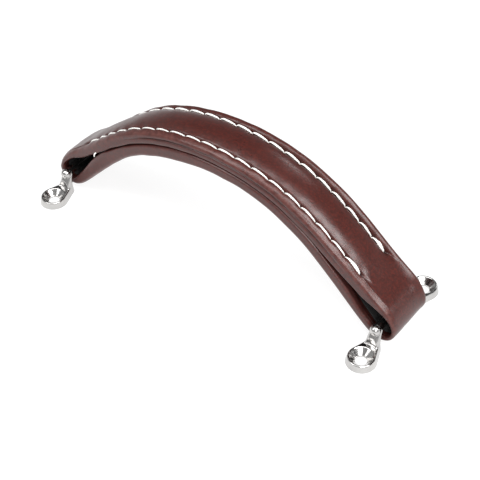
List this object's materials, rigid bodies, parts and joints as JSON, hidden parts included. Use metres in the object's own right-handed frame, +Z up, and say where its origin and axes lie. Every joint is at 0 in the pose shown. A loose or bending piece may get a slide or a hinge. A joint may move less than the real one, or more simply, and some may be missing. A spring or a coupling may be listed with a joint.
{
  "type": "case handle",
  "caption": "Arched, padded leather carrying handle, sewn along both edges, with a loop at each end that hangs on the bar of a countersunk nickel-plated mounting bracket",
  "frame": {"origin": "on the plane of the four feet, in the middle of the handle along and across", "axes": "X along the handle from bracket to bracket, Y across it along the bars, Z up from the mounting surface"},
  "size_m": [0.2393, 0.0806, 0.0811],
  "materials": {
    "leather": "dark reddish brown, waxed, soft sheen",
    "lining": "black, matte",
    "thread": "off-white waxed sewing thread",
    "nickel": "polished nickel plate"
  },
  "bodies": {
    "handle": {"leather_strap": "leather", "inner_lining": "lining", "front_needle_thread": "thread", "rear_needle_thread": "thread", "front_bobbin_thread": "thread", "rear_bobbin_thread": "thread"},
    "left_bracket": {"left_bracket": "nickel"},
    "right_bracket": {"right_bracket": "nickel"}
  },
  "joints": [
    {"name": "left_bracket_swing", "type": "hinge", "parent": "handle", "child": "left_bracket", "pos_m": [-0.1097, 0, 0.0127], "axis": [0, 1, 0], "continuous": true},
    {"name": "right_bracket_swing", "type": "hinge", "parent": "handle", "child": "right_bracket", "pos_m": [0.1097, 0, 0.0127], "axis": [0, 1, 0], "continuous": true}
  ]
}
